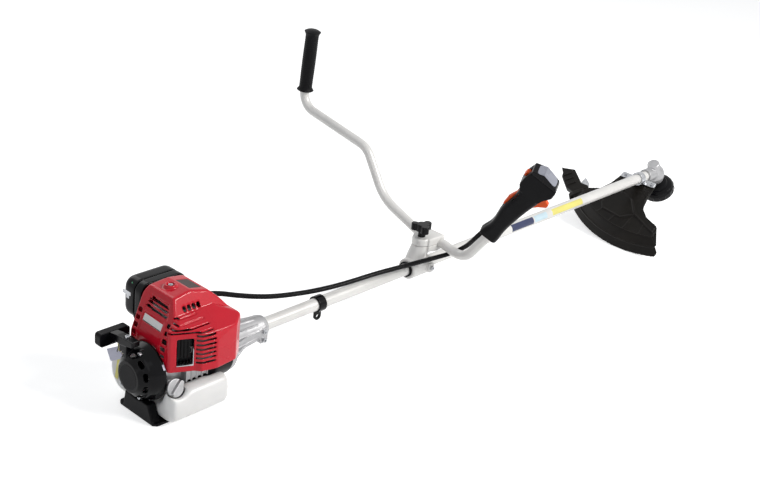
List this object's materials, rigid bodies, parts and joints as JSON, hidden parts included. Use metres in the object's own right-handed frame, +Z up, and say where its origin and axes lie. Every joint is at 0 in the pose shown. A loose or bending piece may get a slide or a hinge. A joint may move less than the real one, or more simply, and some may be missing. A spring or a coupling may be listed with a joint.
{
  "type": "string trimmer",
  "caption": "Petrol string trimmer with a small engine, straight drive tube, bull handlebar and guarded line head; head, throttle, starter, choke, caps and handlebar all move.",
  "frame": {"origin": "middle of the tank stand's underside, where the engine end rests on the ground", "axes": "+X runs from the engine towards the cutting head, level with the ground; +Y is the operator's left; +Z is up"},
  "size_m": [1.9309, 0.7808, 0.5575],
  "materials": {
    "red_plastic": "gloss",
    "black_plastic": "satin",
    "grey_plastic": "satin",
    "tank_plastic": "satin",
    "cast_aluminium": "matte",
    "tube_aluminium": "satin",
    "orange_plastic": "gloss",
    "orange_red_plastic": "gloss",
    "steel": "satin",
    "black_rubber": "matte",
    "foam": "matte"
  },
  "bodies": {
    "machine": {"connecting_rod": "cast_aluminium", "piston": "cast_aluminium", "crankcase": "cast_aluminium", "cylinder": "cast_aluminium", "rocker_cover": "black_plastic", "spark_plug": "steel", "plug_cap": "black_rubber", "fan_cover": "black_plastic", "clutch_housing": "cast_aluminium", "muffler": "steel", "carburettor": "cast_aluminium", "air_cleaner_case": "black_plastic", "air_filter": "foam", "top_cover": "red_plastic", "starter_case": "black_plastic", "fuel_tank": "tank_plastic", "tank_stand": "black_plastic", "drive_tube": "tube_aluminium", "shaft_bushes": "black_rubber", "gear_case": "cast_aluminium", "guard": "black_plastic", "guard_clamp": "steel", "guard_extension": "black_plastic", "line_cutter": "steel", "harness_clamp": "steel", "rubber_sleeve": "black_rubber", "handle_bracket": "cast_aluminium", "bracket_cap": "cast_aluminium", "throttle_cable": "black_rubber", "bearings": "steel", "cap_screws": "steel"},
    "crank": {"crankshaft": "steel", "flywheel": "cast_aluminium", "clutch_shoes": "steel"},
    "output": {"output_gear": "steel", "head_flange": "steel", "trimmer_head": "black_plastic"},
    "bump_spool": {"bump_knob": "black_plastic", "line_spool": "black_plastic"},
    "drive_line": {"drive_shaft": "steel", "clutch_drum": "steel", "pinion": "steel"},
    "starter_pull": {"starter_grip": "black_plastic", "starter_rope": "black_plastic"},
    "rope_reel": {"starter_reel": "black_plastic"},
    "handle": {"handlebar": "tube_aluminium", "left_grip": "black_rubber", "grip_front_half": "black_plastic", "grip_rear_half": "black_plastic", "grip_cap": "grey_plastic"},
    "trigger": {"throttle_trigger": "orange_plastic"},
    "lockout": {"lockout_lever": "orange_red_plastic"},
    "engine_switch": {"stop_switch": "orange_red_plastic"},
    "carburettor_lever": {"throttle_lever": "steel"},
    "choke": {"choke_lever": "black_plastic"},
    "primer": {"primer_bulb": "black_rubber"},
    "tank_cap": {"fuel_cap": "black_plastic"},
    "oil_filler_cap": {"oil_cap": "cast_aluminium"},
    "bracket_knob": {"clamp_knob": "black_plastic"},
    "cleaner_lid": {"air_cleaner_cover": "black_plastic"}
  },
  "joints": [
    {"name": "crank_spin", "type": "hinge", "parent": "machine", "child": "crank", "pos_m": [-0.00054, 0, 0.09312], "axis": [0.9993, 0, 0.038], "continuous": true},
    {"name": "output_spin", "type": "hinge", "parent": "machine", "child": "output", "pos_m": [1.72622, 0, 0.15875], "axis": [0.5617, 0, -0.8273], "continuous": true},
    {"name": "shaft_spin", "type": "hinge", "parent": "machine", "child": "drive_line", "pos_m": [1.68824, 0, 0.15731], "axis": [0.9993, 0, 0.038], "continuous": true},
    {"name": "bump_press", "type": "slide", "parent": "output", "child": "bump_spool", "axis": [-0.5617, 0, 0.8273], "range_m": [0, 0.005], "stiffness_N_per_m": 1500, "springref_m": -0.004},
    {"name": "starter_pull_slide", "type": "slide", "parent": "machine", "child": "starter_pull", "axis": [0, 1, 0], "range_m": [0, 0.5], "stiffness_N_per_m": 14, "springref_m": -0.35, "deforming": ["starter_rope"]},
    {"name": "reel_turn", "type": "hinge", "parent": "machine", "child": "rope_reel", "pos_m": [-0.08747, 0, 0.08982], "axis": [-0.9993, 0, -0.038], "range_deg": [0, 1030]},
    {"name": "bar_tilt", "type": "hinge", "parent": "machine", "child": "handle", "pos_m": [0.74391, 0, 0.17445], "axis": [0, 1, 0], "range_deg": [-25, 25], "deforming": ["throttle_cable"]},
    {"name": "trigger_pull", "type": "hinge", "parent": "handle", "child": "trigger", "pos_m": [0.74184, -0.27944, 0.38695], "axis": [0.8538, 0.3959, 0.338], "range_deg": [0, 8], "stiffness_Nm_per_rad": 1.5, "springref_deg": -5.73},
    {"name": "lockout_press", "type": "hinge", "parent": "handle", "child": "lockout", "pos_m": [0.72528, -0.23353, 0.375], "axis": [-0.8538, -0.3959, -0.338], "range_deg": [0, 6], "stiffness_Nm_per_rad": 1, "springref_deg": -5.73},
    {"name": "switch_slide", "type": "slide", "parent": "handle", "child": "engine_switch", "axis": [-0.0301, -0.6108, 0.7913], "range_m": [0, 0.005]},
    {"name": "throttle_lever_turn", "type": "hinge", "parent": "machine", "child": "carburettor_lever", "pos_m": [-0.00096, 0.049, 0.18317], "axis": [-0.038, 0, 0.9993], "range_deg": [0, 56]},
    {"name": "choke_turn", "type": "hinge", "parent": "machine", "child": "choke", "pos_m": [-0.03562, 0.071, 0.16584], "axis": [0.9993, 0, 0.038], "range_deg": [0, 80]},
    {"name": "primer_press", "type": "slide", "parent": "machine", "child": "primer", "axis": [-0.038, 0, 0.9993], "range_m": [0, 0.003], "stiffness_N_per_m": 800, "springref_m": -0.002},
    {"name": "tank_cap_turn", "type": "hinge", "parent": "machine", "child": "tank_cap", "pos_m": [0.02207, 0.088, 0.10399], "axis": [-0.038, 0, 0.9993], "continuous": true},
    {"name": "oil_cap_turn", "type": "hinge", "parent": "machine", "child": "oil_filler_cap", "pos_m": [-0.04395, -0.06346, 0.07695], "axis": [-0.0148, -0.9207, 0.39], "continuous": true},
    {"name": "knob_turn", "type": "hinge", "parent": "machine", "child": "bracket_knob", "pos_m": [0.70192, 0, 0.19988], "axis": [-0.038, 0, 0.9993], "continuous": true},
    {"name": "lid_open", "type": "hinge", "parent": "machine", "child": "cleaner_lid", "pos_m": [0.02936, 0.08, 0.149], "axis": [-0.9993, 0, -0.038], "range_deg": [0, 60]}
  ],
  "couplings": [
    {"joint": "shaft_spin", "follows": "output_spin", "ratio": -1.4167},
    {"joint": "reel_turn", "follows": "starter_pull_slide", "rad_per_m": 35.714},
    {"joint": "throttle_lever_turn", "follows": "trigger_pull", "ratio": 7}
  ]
}
